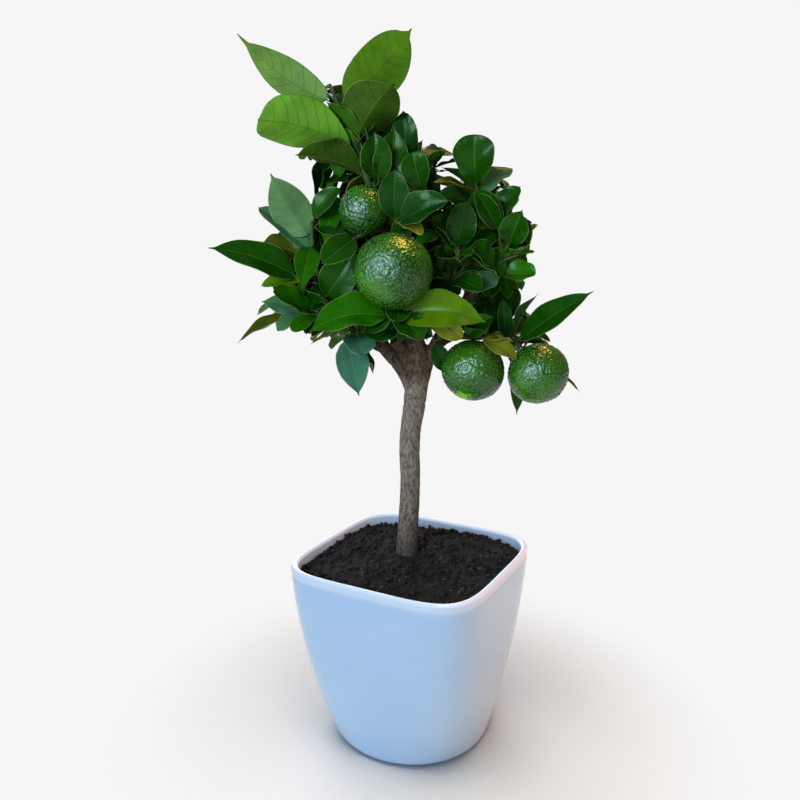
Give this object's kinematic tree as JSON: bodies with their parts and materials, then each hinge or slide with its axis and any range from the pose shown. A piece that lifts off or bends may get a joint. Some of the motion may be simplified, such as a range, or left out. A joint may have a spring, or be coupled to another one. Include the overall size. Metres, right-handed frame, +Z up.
{
  "type": "potted rangpur lime tree",
  "caption": "Small citrus tree in a white glazed pot: a short bare trunk, forking boughs and a crown of leathery leaves in separate masses, with round green fruit.",
  "frame": {"origin": "middle of the pot's flat underside", "axes": "+Z up the trunk, -Y towards the tree's front, where the largest fruit hangs, +X to its right"},
  "size_m": [0.2624, 0.2151, 0.5093],
  "materials": {
    "pot_glaze": "gloss white glaze",
    "potting_soil": "moist, crumbly, matt",
    "bark": "fine-grained grey-brown bark",
    "foliage": "waxy green leaf and peel"
  },
  "bodies": {
    "root": {"pot": "pot_glaze", "soil": "potting_soil", "trunk": "bark", "bough_leader": "bark", "bough_left": "bark", "bough_right": "bark", "bough_back": "bark", "bough_back_left": "bark", "bough_back_right": "bark", "bough_back_top": "bark", "bough_crown": "bark", "bough_front": "bark", "bough_centre": "bark", "bough_right_top": "bark", "bough_right_low": "bark", "bough_left_low": "bark", "bough_low": "bark", "foliage_top": "foliage", "foliage_crown": "foliage", "foliage_right_top": "foliage", "foliage_right": "foliage", "foliage_centre": "foliage", "foliage_fruit_pair": "foliage", "foliage_front": "foliage", "foliage_left": "foliage", "foliage_left_low": "foliage", "foliage_low": "foliage", "foliage_back_left": "foliage", "foliage_back": "foliage", "foliage_back_right": "foliage", "foliage_back_top": "foliage"}
  },
  "joints": []
}
